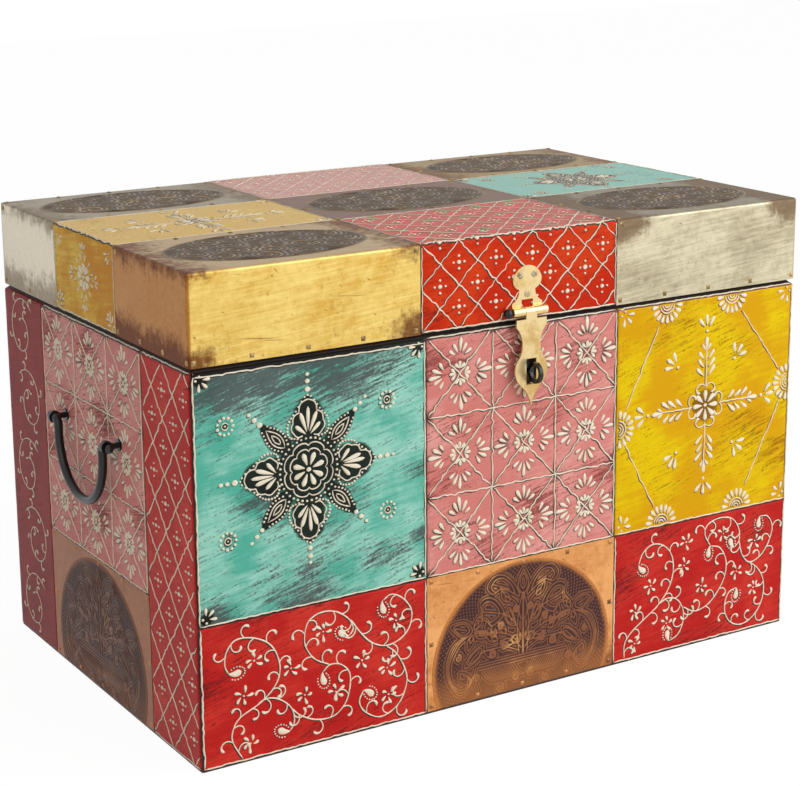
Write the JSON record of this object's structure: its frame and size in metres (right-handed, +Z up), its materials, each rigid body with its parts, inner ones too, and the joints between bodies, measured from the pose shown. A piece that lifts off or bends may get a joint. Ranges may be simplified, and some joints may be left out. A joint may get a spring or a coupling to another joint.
{
  "type": "storage chest",
  "caption": "Painted wooden storage chest with metal-clad patches, a hinged lid closed by a hasp over a staple eye, and a swinging bail handle on each side.",
  "frame": {"origin": "middle of the base, on the ground", "axes": "+X to the right seen from the front, +Y to the back, +Z up"},
  "size_m": [0.6346, 0.4102, 0.4016],
  "materials": {
    "painted_wood": "hardwood boards, painted in patches outside, plain dark stain inside",
    "copper_sheet": "thin embossed copper sheet with brown patina",
    "brass_sheet": "thin embossed brass sheet, worn and spotted",
    "silver_sheet": "thin embossed white-metal sheet, scratched and stained",
    "sheet_pins": "dulled pin heads",
    "hasp_brass": "polished brass, rubbed",
    "black_iron": "blackened forged iron",
    "hinge_steel": "dark oxidised steel"
  },
  "bodies": {
    "chest": {"front_board": "painted_wood", "back_board": "painted_wood", "left_board": "painted_wood", "right_board": "painted_wood", "bottom_board": "painted_wood", "copper_sheet_front": "copper_sheet", "copper_sheet_left": "copper_sheet", "copper_sheet_right": "copper_sheet", "chest_sheet_pins": "sheet_pins", "staple_eye": "black_iron", "staple_nut": "black_iron", "left_hinge_chest_leaf": "hinge_steel", "right_hinge_chest_leaf": "hinge_steel", "left_hinge_pin": "hinge_steel", "right_hinge_pin": "hinge_steel", "hinge_chest_screws": "hinge_steel", "left_handle_eye_front": "black_iron", "left_handle_eye_back": "black_iron", "right_handle_eye_front": "black_iron", "right_handle_eye_back": "black_iron", "handle_nuts": "black_iron"},
    "lid": {"lid_top_board": "painted_wood", "lid_front_rail": "painted_wood", "lid_back_rail": "painted_wood", "lid_left_rail": "painted_wood", "lid_right_rail": "painted_wood", "brass_sheet_front_left": "brass_sheet", "brass_sheet_back_right": "brass_sheet", "silver_sheet_front_right": "silver_sheet", "silver_sheet_back_left": "silver_sheet", "copper_sheet_top": "copper_sheet", "lid_sheet_pins": "sheet_pins", "left_hinge_lid_leaf": "hinge_steel", "right_hinge_lid_leaf": "hinge_steel", "hinge_lid_screws": "hinge_steel", "hasp_leaf": "hasp_brass", "hasp_pin": "black_iron", "hasp_screws": "hasp_brass"},
    "hasp": {"hasp_strap": "hasp_brass"},
    "left_bail": {"left_handle": "black_iron"},
    "right_bail": {"right_handle": "black_iron"}
  },
  "joints": [
    {"name": "lid_hinge", "type": "hinge", "parent": "chest", "child": "lid", "pos_m": [0, 0.19355, 0.32675], "axis": [-1, 0, 0], "range_deg": [0, 105]},
    {"name": "hasp_swing", "type": "hinge", "parent": "lid", "child": "hasp", "pos_m": [0.007, -0.1943, 0.3345], "axis": [-1, 0, 0], "range_deg": [0, 165]},
    {"name": "left_handle_swing", "type": "hinge", "parent": "chest", "child": "left_bail", "pos_m": [-0.312, 0, 0.235], "axis": [0, 1, 0], "range_deg": [-6, 180]},
    {"name": "right_handle_swing", "type": "hinge", "parent": "chest", "child": "right_bail", "pos_m": [0.312, 0, 0.235], "axis": [0, -1, 0], "range_deg": [-6, 180]}
  ]
}
